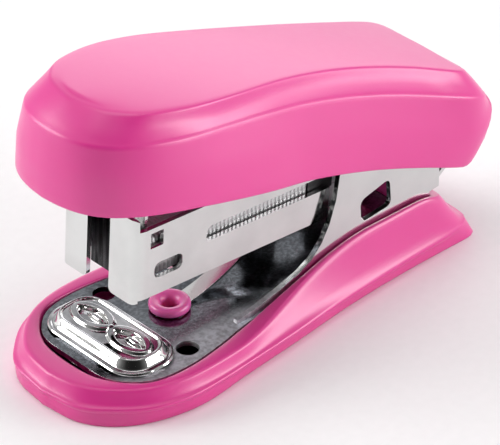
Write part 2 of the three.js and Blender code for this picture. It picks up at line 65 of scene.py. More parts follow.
# ---------------------------------------------------------------- places
NODES = frame["nodes"]
HINGE = Vector(frame["joints"][0]["pos_m"])
SLIDE = Vector([j for j in frame["joints"] if j["name"] == "pusher_slide"][0]["axis"])
TILT = math.atan2(-SLIDE.z, SLIDE.x)       # the magazine slopes down to the rear
CENTRE_X = 1.1                             # the drawing's own X origin, in mm
NOSE = Vector((-28.0 + CENTRE_X, 0.0, 15.35))   # the magazine's own origin, in mm


def magazine_matrix():
    """Takes the magazine's own millimetres to the row frame, in metres."""
    turn = Matrix.Rotation(TILT, 4, "Y")
    return Matrix.Scale(MM, 4) @ Matrix.Translation(NOSE) @ turn


def row_matrix():
    """Takes the drawing's millimetres to the row frame, in metres."""
    return Matrix.Scale(MM, 4) @ Matrix.Translation(Vector((CENTRE_X, 0, 0)))


# ---------------------------------------------------------------- node materials
MIX_SOCKETS = (0, 6, 7)                    # factor, A and B of a Mix node set to colours
MIX_RESULT = 2
LINES_ALONG_X = (120.0, 5200.0, 5200.0)    # stretches noise into fine lines along X
RUBBED_ALONG_X = (250.0, 1800.0, 1800.0)
STREAKS_DOWN = (900.0, 1900.0, 90.0)
GRAIN_DEPTH, LINE_DEPTH, RIPPLE_DEPTH = 0.00004, 0.00003, 0.0004


def set_stops(ramp, stops):
    """Gives a colour ramp the stops (place, colour)."""
    while len(ramp.elements) < len(stops):
        ramp.elements.new(0.5)
    for element, (at, colour) in zip(ramp.elements, stops):
        element.position = at
        element.color = (*colour, 1.0)


class Shader:
    """A small helper around one material's node tree."""

    def __init__(self, name):
        self.material = bpy.data.materials.new(name)
        self.material.use_nodes = True
        self.tree = self.material.node_tree
        self.bsdf = self.tree.nodes["Principled BSDF"]
        texture = self.tree.nodes.new("ShaderNodeTexCoord")
        self.coords = texture.outputs["Object"]
        self.normal = texture.outputs["Normal"]

    def node(self, kind, **values):
        """A new node, with its sockets or its settings given by name (_ stands for a space)."""
        made = self.tree.nodes.new(kind)
        for key, value in values.items():
            socket = key.replace("_", " ")
            if socket in made.inputs:
                made.inputs[socket].default_value = value
            else:
                setattr(made, key, value)
        return made

    def link(self, out, into):
        self.tree.links.new(out, into)

    def feed(self, value, into):
        """Links an output to a socket, or sets the socket to a plain number."""
        if hasattr(value, "is_linked"):
            self.link(value, into)
        else:
            into.default_value = value

    def set(self, **values):
        """Sets the shader's own sockets (_ stands for a space)."""
        for key, value in values.items():
            self.bsdf.inputs[key.replace("_", " ")].default_value = value

    def colour(self, value):
        self.link(value, self.bsdf.inputs["Base Color"])

    def roughness(self, value):
        self.link(value, self.bsdf.inputs["Roughness"])

    def bump(self, height, strength, distance):
        made = self.node("ShaderNodeBump", Strength=strength, Distance=distance)
        self.link(height, made.inputs["Height"])
        self.link(made.outputs["Normal"], self.bsdf.inputs["Normal"])

    def stretched(self, scale):
        mapping = self.node("ShaderNodeMapping", Scale=scale)
        self.link(self.coords, mapping.inputs["Vector"])
        return mapping.outputs["Vector"]

    def noise(self, scale, detail, vector=None):
        made = self.node("ShaderNodeTexNoise", Scale=scale, Detail=detail)
        self.link(vector or self.coords, made.inputs["Vector"])
        return made.outputs["Fac"]

    def ramp(self, value, stops):
        made = self.node("ShaderNodeValToRGB")
        set_stops(made.color_ramp, stops)
        self.link(value, made.inputs["Fac"])
        return made.outputs["Color"]

    def span(self, value, low, high):
        """Takes 0 to 1 to low to high."""
        made = self.node("ShaderNodeMapRange", To_Min=low, To_Max=high)
        self.link(value, made.inputs["Value"])
        return made.outputs["Result"]

    def step(self, value, start, end):
        """0 before start and 1 after end, rising smoothly between them."""
        made = self.node("ShaderNodeMapRange", interpolation_type="SMOOTHSTEP",
                         From_Min=start, From_Max=end)
        self.link(value, made.inputs["Value"])
        return made.outputs["Result"]

    def part(self, vector, axis):
        """One component of a vector."""
        split = self.node("ShaderNodeSeparateXYZ")
        self.link(vector, split.inputs["Vector"])
        return split.outputs[axis]

    def calc(self, operation, *values):
        made = self.node("ShaderNodeMath", operation=operation)
        for value, into in zip(values, made.inputs):
            self.feed(value, into)
        return made.outputs["Value"]

    def mix(self, share, first, second):
        """The first colour where the share is 0 and the second where it is 1."""
        made = self.node("ShaderNodeMix", data_type="RGBA", blend_type="MIX")
        for socket, value in zip(MIX_SOCKETS, (share, first, second)):
            self.feed(value, made.inputs[socket])
        return made.outputs[MIX_RESULT]


def moulded_plastic(name, colour, deep, roughness, grain):
    """Injection-moulded plastic: a fine spark-eroded grain and slight flow marks."""
    s = Shader(name)
    s.colour(s.ramp(s.noise(scale=45.0, detail=2.0), [(0.3, deep), (0.7, colour)]))
    s.roughness(s.span(s.noise(scale=900.0, detail=4.0), roughness - 0.04, roughness + 0.05))
    s.bump(s.noise(scale=2600.0, detail=2.0), grain, GRAIN_DEPTH)
    s.set(Metallic=0.0, IOR=1.52)
    return s


def pink_plastic():
    s = moulded_plastic("pink_moulded", colour=(0.755, 0.034, 0.285), deep=(0.73, 0.03, 0.27),
                        roughness=0.36, grain=0.1)
    s.set(Subsurface_Weight=0.1, Subsurface_Scale=0.0012, Subsurface_Radius=(1.0, 0.35, 0.5),
          Coat_Weight=0.6, Coat_Roughness=0.36, Coat_IOR=1.6, Specular_IOR_Level=0.4)
    return s


def in_well(s):
    """1 inside the recess of the base, under the steel plate, and 0 elsewhere."""
    box = (("X", -0.003, 0.0275), ("Y", 0.0, 0.0092), ("Z", 0.0022, 0.0018))
    along, across, up = (s.calc("COMPARE", s.part(s.coords, axis), middle, reach)
                         for axis, middle, reach in box)
    return s.calc("MULTIPLY", s.calc("MULTIPLY", along, across), up)


def base_pink():
    """The same plastic, with painted shade: near black in the recess under the plate."""
    s = pink_plastic()
    s.material.name = "pink_moulded_base"
    plain_pink = s.bsdf.inputs["Base Color"].links[0].from_socket
    # painted shade: the recess under the plate is darkened where little light reaches it
    well_painted_shade = s.ramp(s.noise(scale=600.0, detail=4.0),
                  [(0.35, (0.012, 0.004, 0.007)), (0.65, (0.03, 0.01, 0.016))])
    s.colour(s.mix(in_well(s), plain_pink, well_painted_shade))
    return s.material


def pink_painted_light():
    """The same plastic, which lets more light through the boss's thin wall, with a paler pink that
    is painted light.
    """
    s = pink_plastic()
    s.material.name = "pink_moulded_painted_light"
    # painted light: a paler copy of the same pink, lighter than the rest of the plastic
    s.colour(s.ramp(s.noise(scale=300.0, detail=3.0),
                    [(0.3, (0.84, 0.11, 0.4)), (0.7, (0.88, 0.14, 0.44))]))
    s.set(Subsurface_Weight=0.5)
    return s.material


def bright_plate():
    """Pressed sheet with bright plate: mirror-like, with slow waves from the press."""
    tint, shaded = (0.75, 0.75, 0.745), (0.645, 0.645, 0.6407)
    roughness = 0.09
    s = Shader("bright_plate")
    s.colour(s.ramp(s.noise(scale=140.0, detail=4.0), [(0.3, shaded), (0.65, tint)]))
    rub = s.noise(scale=1.0, detail=5.0, vector=s.stretched(RUBBED_ALONG_X))
    s.roughness(s.span(rub, roughness * 0.6, roughness * 1.7))
    s.bump(s.noise(scale=60.0, detail=1.5), 0.1, RIPPLE_DEPTH)
    s.set(Metallic=1.0)
    return s.material


def base_plate_steel():
    """The base plate: bright on the ears, with painted shade on its floor, a lighter painted
    reflection along the floor's near edge, a painted highlight on its cut edges and dark cut edges
    on the ears."""
    floor_top, ear_foot = 0.0052, 0.0085           # heights where the painted shade ends, in metres
    shade_edge, reflection_edge = -0.0045, -0.0085       # the same across the floor
    s = Shader("bright_base_plate")
    on_ear = s.step(s.part(s.coords, "Z"), floor_top, ear_foot)
    # painted shade: the floor is darkened where it lies under the magazine and handle, mottled at
    # random
    speckle = s.ramp(s.noise(scale=2300.0, detail=5.0),
                     [(0.4, (0.04, 0.042, 0.05)), (0.64, (0.3, 0.32, 0.36))])
    haze = s.ramp(s.noise(scale=130.0, detail=3.0),
                  [(0.35, (0.1, 0.105, 0.12)), (0.65, (0.26, 0.275, 0.3))])
    # painted reflection: a lighter band along the floor's near edge
    near_painted_reflection = s.ramp(s.noise(scale=1500.0, detail=5.0),
                   [(0.35, (0.42, 0.43, 0.46)), (0.6, (0.66, 0.68, 0.72))])
    near_share = s.step(s.part(s.coords, "Y"), shade_edge, reflection_edge)
    floor_painted_light = s.mix(near_share, s.mix(0.4, haze, speckle), near_painted_reflection)
    ear_tint = s.ramp(s.noise(scale=160.0, detail=4.0),
                      [(0.3, (0.66, 0.66, 0.66)), (0.65, (0.73, 0.73, 0.725))])
    # the ears' cut edges are dark
    ear_cut_dark = s.ramp(s.noise(scale=1900.0, detail=5.0),
                  [(0.45, (0.02, 0.02, 0.022)), (0.66, (0.24, 0.24, 0.24))])
    # painted highlight on the floor's cut edges
    cut_painted_highlight = s.ramp(s.noise(scale=700.0, detail=4.0),
                  [(0.4, (0.55, 0.55, 0.56)), (0.6, (0.92, 0.92, 0.92))])
    on_cut = s.step(s.calc("ABSOLUTE", s.part(s.normal, "X")), 0.35, 0.8)
    s.colour(s.mix(on_cut, s.mix(on_ear, floor_painted_light, ear_tint), s.mix(on_ear, cut_painted_highlight, ear_cut_dark)))
    worn = s.calc("MULTIPLY", near_share, s.calc("SUBTRACT", 1.0, on_ear))
    plain = s.span(s.noise(scale=420.0, detail=5.0), 0.05, 0.2)
    s.roughness(s.calc("MULTIPLY_ADD", worn, 0.4, plain))
    s.bump(s.noise(scale=110.0, detail=2.0), 0.2, RIPPLE_DEPTH)
    s.set(Metallic=1.0)
    return s.material


def anvil_steel():
    """Bright plate, with painted light by facing: lighter on the walls and painted shade on the
    flats of the relief.
    """
    s = Shader("anvil_plate")
    haze = s.noise(scale=260.0, detail=4.0)
    wall = s.ramp(haze, [(0.3, (0.82, 0.82, 0.81)), (0.65, (0.92, 0.92, 0.91))])
    deck = s.ramp(haze, [(0.35, (0.3, 0.3, 0.32)), (0.65, (0.62, 0.62, 0.64))])
    # painted light: lighter walls and darker flats, picked by which way the surface faces
    s.colour(s.mix(s.step(s.part(s.normal, "Z"), 0.7, 0.98), wall, deck))
    s.roughness(s.span(s.noise(scale=900.0, detail=4.0), 0.04, 0.1))
    s.bump(s.noise(scale=200.0, detail=1.5), 0.25, RIPPLE_DEPTH)
    s.set(Metallic=1.0)
    return s.material


def brushed(name, tint, deep, low, high):
    """Plain drawn or rolled steel with fine lines along X. Its roughness runs from low to high."""
    s = Shader(name)
    lines = s.noise(scale=1.0, detail=6.0, vector=s.stretched(LINES_ALONG_X))
    s.colour(s.ramp(lines, [(0.3, deep), (0.7, tint)]))
    s.roughness(s.span(lines, low, high))
    s.bump(lines, 0.25, LINE_DEPTH)
    s.set(Metallic=1.0)
    return s


def brushed_steel(name, tint, roughness):
    deep = tuple(0.7 * c for c in tint)
    return brushed(name, tint, deep, roughness * 0.75, roughness * 1.3).material


def rail_steel():
    """The inner rail: plain sheet, with painted shade blackening its front, where the staples leave
    it.
    """
    shade_end, unshaded_start = 4 * MM, 12 * MM       # from the front of the rail
    s = brushed("rail_sheet", (0.56, 0.56, 0.58), (0.36, 0.36, 0.38), 0.22, 0.36)
    plain = s.bsdf.inputs["Base Color"].links[0].from_socket
    streaks = s.noise(scale=1.0, detail=5.0, vector=s.stretched(STREAKS_DOWN))
    # painted shade: the rail's front is near black, for the dark inside seen behind the nose
    front_painted_shade = s.ramp(streaks, [(0.45, (0.008, 0.008, 0.009)), (0.7, (0.09, 0.09, 0.095))])
    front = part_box("staple_rail")[0].x
    along = s.step(s.part(s.coords, "X"), front + shade_end, front + unshaded_start)
    s.colour(s.mix(along, front_painted_shade, plain))
    return s.material


def floor_paper():
    s = Shader("floor_paper")
    s.colour(s.ramp(s.noise(scale=700.0, detail=4.0),
                    [(0.3, (0.93, 0.93, 0.93)), (0.7, (0.95, 0.95, 0.95))]))
    s.set(Roughness=0.75, Specular_IOR_Level=0.2)
    return s.material


PINK = pink_plastic().material
PINK_PAINTED_LIGHT = pink_painted_light()
BASE_PINK = base_pink()
CHROME = bright_plate()
PLATE = base_plate_steel()
RAIL = rail_steel()
ANVIL = anvil_steel()
SHEET = brushed_steel("zinc_sheet", (0.42, 0.42, 0.44), 0.3)
WIRE = brushed_steel("spring_wire", (0.5, 0.5, 0.52), 0.28)
STAPLE = brushed_steel("staple_wire", (0.72, 0.72, 0.73), 0.46)
BLACK = moulded_plastic("black_moulded", colour=(0.02, 0.02, 0.022), deep=(0.012, 0.012, 0.014),
                        roughness=0.45, grain=0.25).material


# ---------------------------------------------------------------- carried-over nodes
WELD_REACH = 2e-6
FLAT_ANGLE = math.radians(0.6)             # facets closer than this to one plane are joined
SHARP_ANGLE = math.radians(30)             # edges sharper than this are rounded

# Each node that shows as it is, or is copied, with its material and its edge radius in mm.
CARRIED = {
    "base_plate": (PLATE, 0.12), "lift_spring": (CHROME, 0.08),
    "pivot_pin": (SHEET, 0.08), "pivot_clip": (SHEET, 0.05),
    "spacer_near": (SHEET, 0.08), "spacer_far": (SHEET, 0.08),
    "magazine_channel": (CHROME, 0.12), "staple_rail": (RAIL, 0.1),
    "spring_rod": (SHEET, 0.08), "pusher": (BLACK, 0.15), "handle_frame": (SHEET, 0.12),
    "driver_blade": (CHROME, 0.08), "driver_rivet_near": (SHEET, 0.08),
    "driver_rivet_far": (SHEET, 0.08),
}


def soften(o, width):
    """Welds a node's facets, rounds its edges by a small radius and shades it smooth."""
    weld = o.modifiers.new("weld", "WELD")
    weld.merge_threshold = WELD_REACH
    flat = o.modifiers.new("flat", "DECIMATE")
    flat.decimate_type = "DISSOLVE"
    flat.angle_limit = FLAT_ANGLE
    bevel = o.modifiers.new("bevel", "BEVEL")
    bevel.width = width
    bevel.segments = 2
    bevel.limit_method = "ANGLE"
    bevel.angle_limit = SHARP_ANGLE
    for polygon in o.data.polygons:
        polygon.use_smooth = True
    o.modifiers.new("normal", "WEIGHTED_NORMAL")


def dress(o, material):
    o.data.materials.clear()
    o.data.materials.append(material)


for carried, (finish, edge_mm) in CARRIED.items():
    dress(NODES[carried], finish)
    soften(NODES[carried], edge_mm * MM)


def rides(o, body, slot, material, *nodes):
    """Gives a new piece its material and its body, and hides the CAD nodes it stands for. slot is
    not used.
    """
    dress(o, material)
    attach(o, body)
    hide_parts(*nodes)


def placed(name, mesh):
    """Turns a bmesh that is already in the row frame into a smooth object."""
    bmesh.ops.recalc_face_normals(mesh, faces=mesh.faces)
    for face in mesh.faces:
        face.smooth = True
    data = bpy.data.meshes.new(name)
    mesh.to_mesh(data)
    mesh.free()
    return linked(name, data)


def linked(name, data):
    """A new object in the scene."""
    o = bpy.data.objects.new(name, data)
    bpy.context.scene.collection.objects.link(o)
    return o


def band(mesh, low_row, high_row):
    """A closed band of quads between two rows of as many vertices."""
    count = len(low_row)
    for i in range(count):
        j = (i + 1) % count
        mesh.faces.new((low_row[i], low_row[j], high_row[j], high_row[i]))


# ---------------------------------------------------------------- lofted shells
SPLINE_STEPS = 16                          # points on each stretch before they are spaced evenly
STEPS = 90                                 # points round each half of a shell
ACROSS = 14                                # strips across a shell's flat top
CROWN_WIDTH = 6                            # where a top is narrower, in mm, it is crowned less


def spline(points, count):
    """A smooth line through (x, y) points, as count + 1 points evenly spaced along it."""
    dense = []
    line = [Vector(p) for p in points]
    line = [line[0] * 2 - line[1]] + line + [line[-1] * 2 - line[-2]]
    for p0, p1, p2, p3 in zip(line, line[1:], line[2:], line[3:]):
        t1 = (p1 - p0).length ** 0.5
        t2 = t1 + (p2 - p1).length ** 0.5
        t3 = t2 + (p3 - p2).length ** 0.5
        for i in range(SPLINE_STEPS):
            u = t1 + (t2 - t1) * i / SPLINE_STEPS
            a1 = p0.lerp(p1, u / t1)
            a2 = p1.lerp(p2, (u - t1) / (t2 - t1))
            a3 = p2.lerp(p3, (u - t2) / (t3 - t2))
            b1 = a1.lerp(a2, u / t2)
            b2 = a2.lerp(a3, (u - t1) / (t3 - t1))
            dense.append(b1.lerp(b2, (u - t1) / (t2 - t1)))
    dense.append(line[-2])
    return even(dense, count)


def even(dense, count):
    """count + 1 points evenly spaced along a line of many points."""
    run = [0.0]
    for a, b in zip(dense, dense[1:]):
        run.append(run[-1] + (b - a).length)
    out, k = [], 0
    for i in range(count + 1):
        want = run[-1] * i / count
        while k < len(run) - 2 and run[k + 1] < want:
            k += 1
        out.append(dense[k].lerp(dense[k + 1], (want - run[k]) / (run[k + 1] - run[k])))
    return out


def outset(line, distance, extra):
    """Moves a half outline outwards, by distance and by an amount that depends on x.
    Its ends stay on the middle."""
    out = []
    last = len(line) - 1
    for i, p in enumerate(line):
        before = line[i - 1] if i else Vector((p.x, -line[1].y))
        after = line[i + 1] if i < last else Vector((p.x, -line[-2].y))
        along = (after - before).normalized()
        moved = p + Vector((-along.y, along.x)) * (distance + extra(p.x))
        out.append(Vector((moved.x, max(0.0, moved.y) if 0 < i < last else 0.0)))
    return out


def ring(a, b, share, distance, height_a, height_b, rise, extra=lambda x: 0.0):
    """A closed ring of (x, y, z), share of the way from half outline a to b, at heights that
    go the same way, moved out by distance and extra and up by rise."""
    half = outset([p.lerp(q, share) for p, q in zip(a, b)], distance, extra)
    near = [(p.x, -p.y, height_a(p.x) * (1 - share) + height_b(p.x) * share + rise) for p in half]
    far = [(x, -y, z) for x, y, z in reversed(near[1:-1])]
    return near + far


def cap(mesh, row, points, crown, flip, matrix):
    """Closes a ring with strips across it, raised by crown along the middle."""
    count = len(row)
    columns = []
    for i in range(count // 2 + 1):
        near, far = row[i], row[(count - i) % count]
        if near is far:
            columns.append([near] * (ACROSS + 1))
            continue
        start, end = Vector(points[i]), Vector(points[(count - i) % count])
        column = [near]
        for k in range(1, ACROSS):
            share = k / ACROSS
            p = start.lerp(end, share)
            p.z += crown * 4 * share * (1 - share) * min(1.0, (end - start).length / CROWN_WIDTH)
            column.append(mesh.verts.new(matrix @ p))
        columns.append(column + [far])
    for left, right in zip(columns, columns[1:]):
        for k in range(ACROSS):
            corners = [left[k], left[k + 1], right[k + 1], right[k]]
            unique = [c for n, c in enumerate(corners) if c not in corners[:n]]
            if len(unique) > 2:
                mesh.faces.new(unique if flip else list(reversed(unique)))


def loft(name, rings, crown):
    """A closed piece through the rings."""
    matrix = row_matrix()
    mesh = bmesh.new()
    rows = [[mesh.verts.new(matrix @ Vector(p)) for p in r] for r in rings]
    for low_row, high_row in zip(rows, rows[1:]):
        band(mesh, low_row, high_row)
    cap(mesh, rows[-1], rings[-1], crown, False, matrix)
    cap(mesh, rows[0], rings[0], crown, True, matrix)
    return placed(name, mesh)


def smooth(x, low, high):
    share = min(1.0, max(0.0, (x - low) / (high - low)))
    return share * share * (3 - 2 * share)


def level(z):
    """A height that is the same all along."""
    return lambda x: z


# Half outlines of the handle seen from above, from the nose along one side to the rear.
SKIRT = [(-36.7, 0), (-36.4, 3.0), (-35.4, 6.3), (-33.4, 9.1), (-30, 11.3), (-25.5, 12.7),
         (-20, 13.3), (-14, 13.4), (-8, 13.0), (-2, 12.1), (4, 11.6), (12, 11.3), (20, 11.5),
         (26, 11.7), (30.3, 11.2), (33.0, 9.8), (34.2, 7.4), (34.4, 0)]
BELT = [(-36.3, 0), (-36.0, 3.0), (-35.0, 6.2), (-32.9, 8.9), (-29.5, 11.0), (-25.3, 12.2),
        (-20, 12.7), (-14, 12.6), (-8, 12.1), (-2, 11.3), (4, 10.9), (12, 10.8), (20, 11.1),
        (26, 11.5), (31.0, 11.6), (34.2, 10.6), (35.6, 8.3), (35.9, 0)]
SHOULDER = [(-35.3, 0), (-35.0, 3.0), (-33.9, 6.0), (-31.8, 8.4), (-28.4, 10.2),
            (-24.5, 11.2), (-20, 11.6), (-15, 11.3), (-8, 10.7), (0, 9.95), (8, 9.7), (16, 9.9),
            (24, 10.6), (29.2, 11.3), (32.6, 11.0), (34.7, 8.8), (35.4, 0)]
TOP = [(-31.5, 0), (-31.3, 1.7), (-30.3, 5.0), (-29, 6.6), (-27, 8.2), (-23.4, 9.4),
       (-18.7, 10.05), (-12.5, 9.75), (-3.7, 8.45), (5, 7.6), (13.5, 7.45), (20, 7.75), (26, 8.4),
       (29.7, 8.6), (31.0, 7.9), (31.3, 6.8), (31.3, 0)]
NOSE_TURN, REAR_TURN = (24, 33), (26, 33)  # from the sides to the nose and to the rear, in mm
REAR_FACE = (29, 34.5)
SHOULDER_DROP = 3.3                        # from the top down to the shoulder
REAR_RAISE = 0.5                           # how far the shoulder comes up again at the rear
RAISED = (23, 34)
REAR_PULL = 0.5                            # how far the bevel's foot is drawn in at the rear


def top_line(x):
    """The height of the handle's top, a line that bends down slightly."""
    return 38.43 - 0.2957 * x - 0.003 * x * x


def shoulder_line(x):
    return top_line(x) - SHOULDER_DROP + REAR_RAISE * smooth(x, *RAISED)


def skirt_line(x):
    """The height of the handle's lower edge, which turns up at the rear and dips at the nose."""
    rear = max(0.0, x - 27.5)
    front = max(0.0, -20.0 - x)
    return 24.1 - 0.324 * x - 0.0021 * x * x + 0.145 * rear * rear - 0.0042 * front * front


def belt_line(x):
    return (skirt_line(x) + shoulder_line(x)) / 2


def ends(x):
    """0 along the handle's sides and 1 at its nose and its rear."""
    return max(smooth(-x, *NOSE_TURN), smooth(x, *REAR_TURN))


def rear_end(x):
    """1 only on the handle's rear face."""
    return smooth(x, *REAR_FACE)


def handle_cover():
    skirt, belt, shoulder, top = (spline(p, STEPS) for p in (SKIRT, BELT, SHOULDER, TOP))

    def low(share, side, rise=0, end=0):
        """The lower half of the wall. end is what the rear face has on top of side."""
        return ring(skirt, belt, share, side, skirt_line, belt_line, rise,
                    lambda x: end * rear_end(x))

    def mid(share, side, rise=0, end=0):
        """The upper half of the wall."""
        return ring(belt, shoulder, share, side, belt_line, shoulder_line, rise,
                    lambda x: end * rear_end(x))

    def high(share, side, end, rise=0):
        """The bevel. Along the sides it starts as a ledge and is hollow, and it is full at the
        nose and the rear."""
        return ring(shoulder, top, share, 0, shoulder_line, top_line, rise,
                    lambda x: (side * (1 - ends(x)) + end * ends(x)
                               - REAR_PULL * (1 - share) * rear_end(x)))

    inside = [high(1.0, -0.9, -0.9, -1.5), high(0.5, -1.2, -1.2, -1.1), mid(1.0, -1.3, -0.7),
              mid(0.2, -1.15), low(0.4, -1.1)]
    lip = [low(0, -1.0, 0.12), low(0, -0.75), low(0, -0.35), low(0, -0.08, 0.1),
           low(0.04, 0, 0.12)]
    wall = [low(0.3, 0.05, 0, 0.5), low(0.65, 0.1, 0, 0.35), mid(0.0, 0.13, 0, -0.15),
            mid(0.3, 0.14, 0, -0.35), mid(0.6, 0.13, 0, -0.45), mid(0.85, 0.12, 0, -0.5),
            mid(0.95, 0.11, 0, -0.5), mid(0.99, 0.04, 0, -0.5)]
    bevel = [high(0.02, -0.12, -0.05, 0.06), high(0.1, -0.14, 0.02), high(0.22, -0.19, 0.09),
             high(0.36, -0.24, 0.14), high(0.5, -0.24, 0.17), high(0.64, -0.17, 0.18),
             high(0.78, -0.06, 0.17), high(0.9, 0.05, 0.15), high(0.97, 0.09, 0.12)]
    brow = [high(1.0, -0.02, -0.02, 0.0), high(1.0, -0.25, -0.25, 0.06),
            high(1.0, -0.7, -0.7, 0.1)]
    o = loft("handle_shell", inside + lip + wall + bevel + brow, crown=0.2)
    rides(o, "handle", "pink_plastic", PINK, "handle_cover")


# Half outlines of the base seen from above, in the same order.
FOOT = [(-37.8, 0), (-36.9, 5.9), (-34.5, 9.5), (-30.2, 12.4), (-23, 14.1), (-13, 13.2),
        (-3, 12.2), (8, 11.0), (18, 10.5), (27, 10.35), (31.8, 10.1), (32.7, 9.2), (32.9, 7.4),
        (32.9, 0)]
RIDGE = [(-38.1, 0), (-36.9, 6.5), (-34.3, 9.7), (-30.3, 12.8), (-24.9, 14.4),
         (-19.8, 14.5), (-12, 13.9), (-4, 13.2), (4, 12.3), (12.3, 11.7), (20.5, 11.2),
         (26.4, 10.9), (29.8, 10.3), (31.2, 9.0), (31.6, 7.4), (31.7, 0)]
RIM = [(-36.8, 0), (-36.3, 3.5), (-35.4, 6.0), (-33, 9.1), (-29.4, 11.8), (-24, 13.3),
       (-15, 13.2), (-10, 12.2), (-5, 11.0), (0, 10.2), (5, 9.9), (12, 9.9), (20, 9.9), (24.4, 9.8),
       (26.2, 9.1), (26.8, 7.6), (26.8, 0)]
POCKET = [(-33.5, 0), (-33.3, 3.5), (-32.7, 5.8), (-31.2, 8.3), (-28.6, 10.7),
          (-25.5, 11.55), (-21, 11.6), (-16, 10.9), (-12, 10.1), (-6, 9.35), (0, 9.1), (10, 9.0),
          (24, 9.0), (24.5, 8.8), (24.6, 7.8), (24.6, 0)]
RIDGE_Z = 2.7
RIM_FRONT, RIM_RISE = 5.0, 4.8             # the rim's height round the anvil, and its rise
RIM_SLOPE, BASE_REAR = (-13.5, 12.5), (22, 30)


def rim_height(x):
    """The height of the base's top, low round the anvil and high beside the ears."""
    roll = max(0.0, x - 21)
    return RIM_FRONT + RIM_RISE * smooth(x, *RIM_SLOPE) - 0.05 * roll * roll


def rear(x):
    """0 along the base and 1 at its rear."""
    return smooth(x, *BASE_REAR)


def base_cover():
    foot, ridge, rim, pocket = (spline(p, STEPS) for p in (FOOT, RIDGE, RIM, POCKET))
    ground, ridge_height = level(0), level(RIDGE_Z)

    def lower(share, out, rise=0.0):
        """The foot band. Its bead fades out towards the rear."""
        return ring(foot, ridge, share, 0, ground, ridge_height, rise,
                    lambda x: out * (1 - rear(x)))

    def side(share, out, end, rise=0.0):
        """The sloped side, moved out by one amount along the base and another at its rear."""
        return ring(ridge, rim, share, 0, ridge_height, rim_height, rise,
                    lambda x: out * (1 - rear(x)) + end * rear(x))

    def lip(share, out, rise):
        return ring(rim, pocket, share, out, rim_height, rim_height, rise)

    def well(out, z):
        return ring(pocket, pocket, 0, out, level(z), level(z), 0)

    sole = [ring(foot, ridge, 0, -0.4, ground, ridge_height, 0)]
    foot_rings = [lower(0, -0.1), lower(0.04, 0, 0.05), lower(0.4, -0.02), lower(0.7, -0.16),
                  lower(0.8, -0.06), lower(0.88, 0.08), lower(0.96, 0.15)]
    side_rings = [side(0, 0.14, 0, 0.12), side(0.05, 0.04, 0.0, 0.14),
                  side(0.12, -0.12, 0.02, 0.08), side(0.3, -0.12, 0.3), side(0.5, -0.1, 0.35),
                  side(0.7, -0.04, 0.3), side(0.85, 0.04, 0.2), side(0.95, 0.05, 0.08),
                  side(1.0, -0.08, -0.08)]
    lip_rings = [lip(0.04, -0.12, 0.06), lip(0.25, 0, 0.08), lip(0.6, 0, 0.06),
                 lip(0.85, 0, 0.02), lip(1.0, 0.12, -0.04), lip(1.0, 0.0, -0.2)]
    well_rings = [well(0.0, 3.4), well(0, 1.7), well(-0.3, 1.5)]
    o = loft("base_tray", sole + foot_rings + side_rings + lip_rings + well_rings, crown=0.0)
    rides(o, "base", "pink_plastic", BASE_PINK, "base_cover")


# ---------------------------------------------------------------- swept and turned pieces
COIL_TOUCHING = 2.1                        # pitch of close-wound turns, in wire radii


def new_object(name, mesh, matrix):
    """Turns a bmesh drawn in millimetres into an object in the row frame."""
    bmesh.ops.transform(mesh, matrix=matrix, verts=mesh.verts)
    return placed(name, mesh)


def sweep(mesh, line, section, side=None):
    """A closed tube of the given section along a line. side fixes the section's first axis."""
    rows = []
    across = side
    for i, p in enumerate(line):
        before, after = line[max(i - 1, 0)], line[min(i + 1, len(line) - 1)]
        along = (after - before).normalized()
        if side is None:
            guess = across or along.orthogonal()
            across = (guess - along * guess.dot(along)).normalized()
        up = along.cross(across)
        rows.append([mesh.verts.new(p + across * a + up * b) for a, b in section])
    for low_row, high_row in zip(rows, rows[1:]):
        band(mesh, low_row, high_row)
    mesh.faces.new(rows[0])
    mesh.faces.new(list(reversed(rows[-1])))


def round_section(radius, count):
    turn = 2 * math.pi / count
    return [(radius * math.cos(i * turn), radius * math.sin(i * turn)) for i in range(count)]


def cut_section(half_x, half_y, cut):
    """A rectangle with its corners cut."""
    return [(-half_x + cut, -half_y), (half_x - cut, -half_y), (half_x, -half_y + cut),
            (half_x, half_y - cut), (half_x - cut, half_y), (-half_x + cut, half_y),
            (-half_x, half_y - cut), (-half_x, -half_y + cut)]


def staple_strip():
    """Forty staples of flattened wire, side by side, each a U over the rail."""
    first, last, pitch = 2.9, 30.9, 0.7            # along the magazine
    outer, top, foot = 6.4, 8.4, 2.45              # half width, crown and leg ends
    half_pitch, half_wire, bend = 0.342, 0.25, 0.75
    straight_leg, straight_crown, bend_steps = 2.4, 3.0, 4
    reach, crown = outer - half_wire, top - half_wire
    half = [(-reach, foot), (-reach, foot + straight_leg), (-reach, crown - bend)]
    for i in range(1, bend_steps + 1):
        angle = i * math.pi / (2 * bend_steps)
        half.append((-reach + bend * (1 - math.cos(angle)), crown - bend * (1 - math.sin(angle))))
    half.append((-straight_crown, crown))
    path = half + [(-y, z) for y, z in reversed(half)]
    section = cut_section(half_pitch, half_wire, cut=0.06)
    mesh = bmesh.new()
    for i in range(round((last - first) / pitch)):
        x = first + pitch * (i + 0.5)
        sweep(mesh, [Vector((x, y, z)) for y, z in path], section, Vector((1, 0, 0)))
    o = new_object("staples", mesh, magazine_matrix())
    rides(o, "magazine", "staple_wire", STAPLE, "staple_strip")


